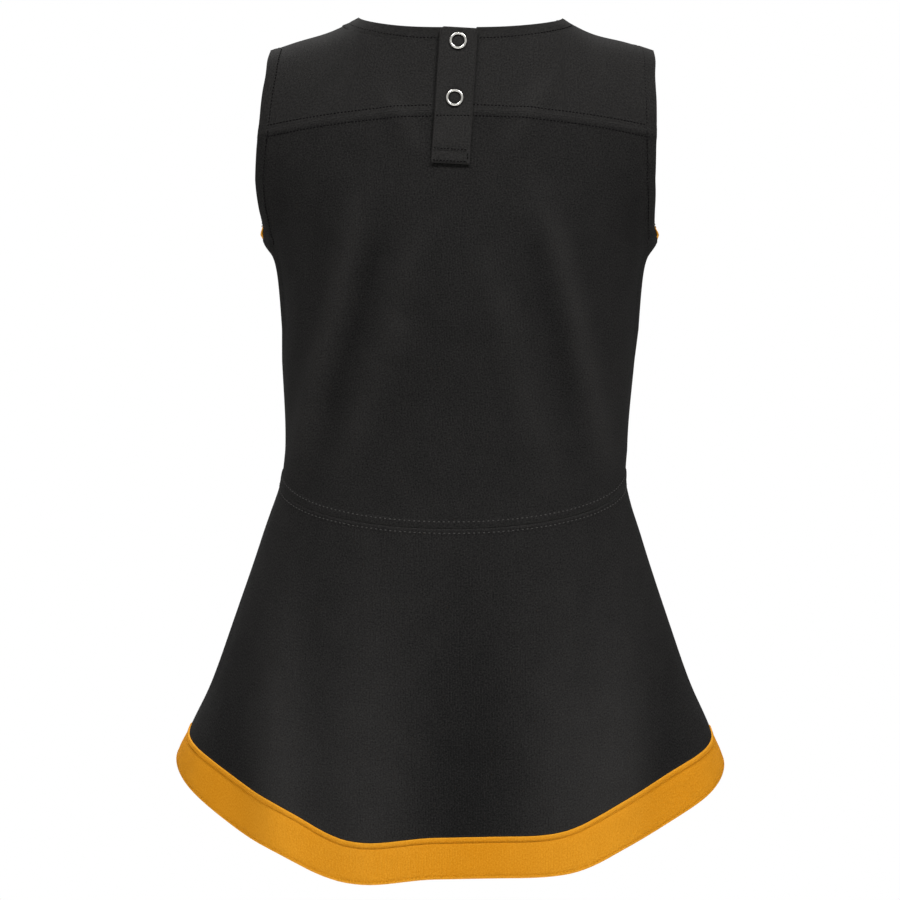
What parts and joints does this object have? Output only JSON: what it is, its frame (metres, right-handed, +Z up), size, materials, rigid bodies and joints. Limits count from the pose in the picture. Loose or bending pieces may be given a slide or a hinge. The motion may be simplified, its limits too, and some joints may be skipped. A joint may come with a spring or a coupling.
{
  "type": "cheer uniform",
  "caption": "Toddler sleeveless cheer dress of black knit with a flared skirt, contrast hem band and a back placket closed by ring snaps.",
  "frame": {"origin": "midway between the two high points of the shoulders, at the level of the shoulder seams, where a hanger or the wearer carries the dress", "axes": "+Z up, the front of the dress faces -Y, the back with the snap placket faces +Y, the wearer's left is +X"},
  "size_m": [0.304, 0.2194, 0.4806],
  "materials": {
    "black_knit": "matt double knit with a fine grain",
    "gold_knit": "matt double knit in golden yellow",
    "interfacing": "white non-woven stiffener",
    "snap_metal": "bright nickel plate on pressed brass"
  },
  "bodies": {
    "dress": {"back_yoke_left": "black_knit", "back_yoke_right": "black_knit", "back_bodice": "black_knit", "back_skirt": "black_knit", "front_yoke": "black_knit", "front_bodice": "black_knit", "front_skirt": "black_knit", "neck_facing": "black_knit", "placket_overlap_foot": "black_knit", "placket_underlap_foot": "black_knit", "back_hem_band": "gold_knit", "front_hem_band": "gold_knit", "front_chevron_band": "gold_knit"},
    "overlap_flap": {"placket_overlap": "black_knit", "overlap_interfacing": "interfacing", "upper_snap_cap_ring": "snap_metal", "upper_snap_socket": "snap_metal", "lower_snap_cap_ring": "snap_metal", "lower_snap_socket": "snap_metal"},
    "underlap_strip": {"placket_underlap": "black_knit", "underlap_interfacing": "interfacing", "upper_snap_stud": "snap_metal", "upper_snap_back_ring": "snap_metal", "lower_snap_stud": "snap_metal", "lower_snap_back_ring": "snap_metal"}
  },
  "joints": [
    {"name": "flap_opening", "type": "hinge", "parent": "dress", "child": "overlap_flap", "pos_m": [-0.0097, 0.05494, -0.0353], "axis": [-0.0593, -0.2512, 0.9661], "range_deg": [0, 130]},
    {"name": "underlap_bending", "type": "hinge", "parent": "dress", "child": "underlap_strip", "pos_m": [0.00762, 0.05274, -0.03481], "axis": [-0.0593, -0.2512, 0.9661], "range_deg": [0, 45]}
  ]
}
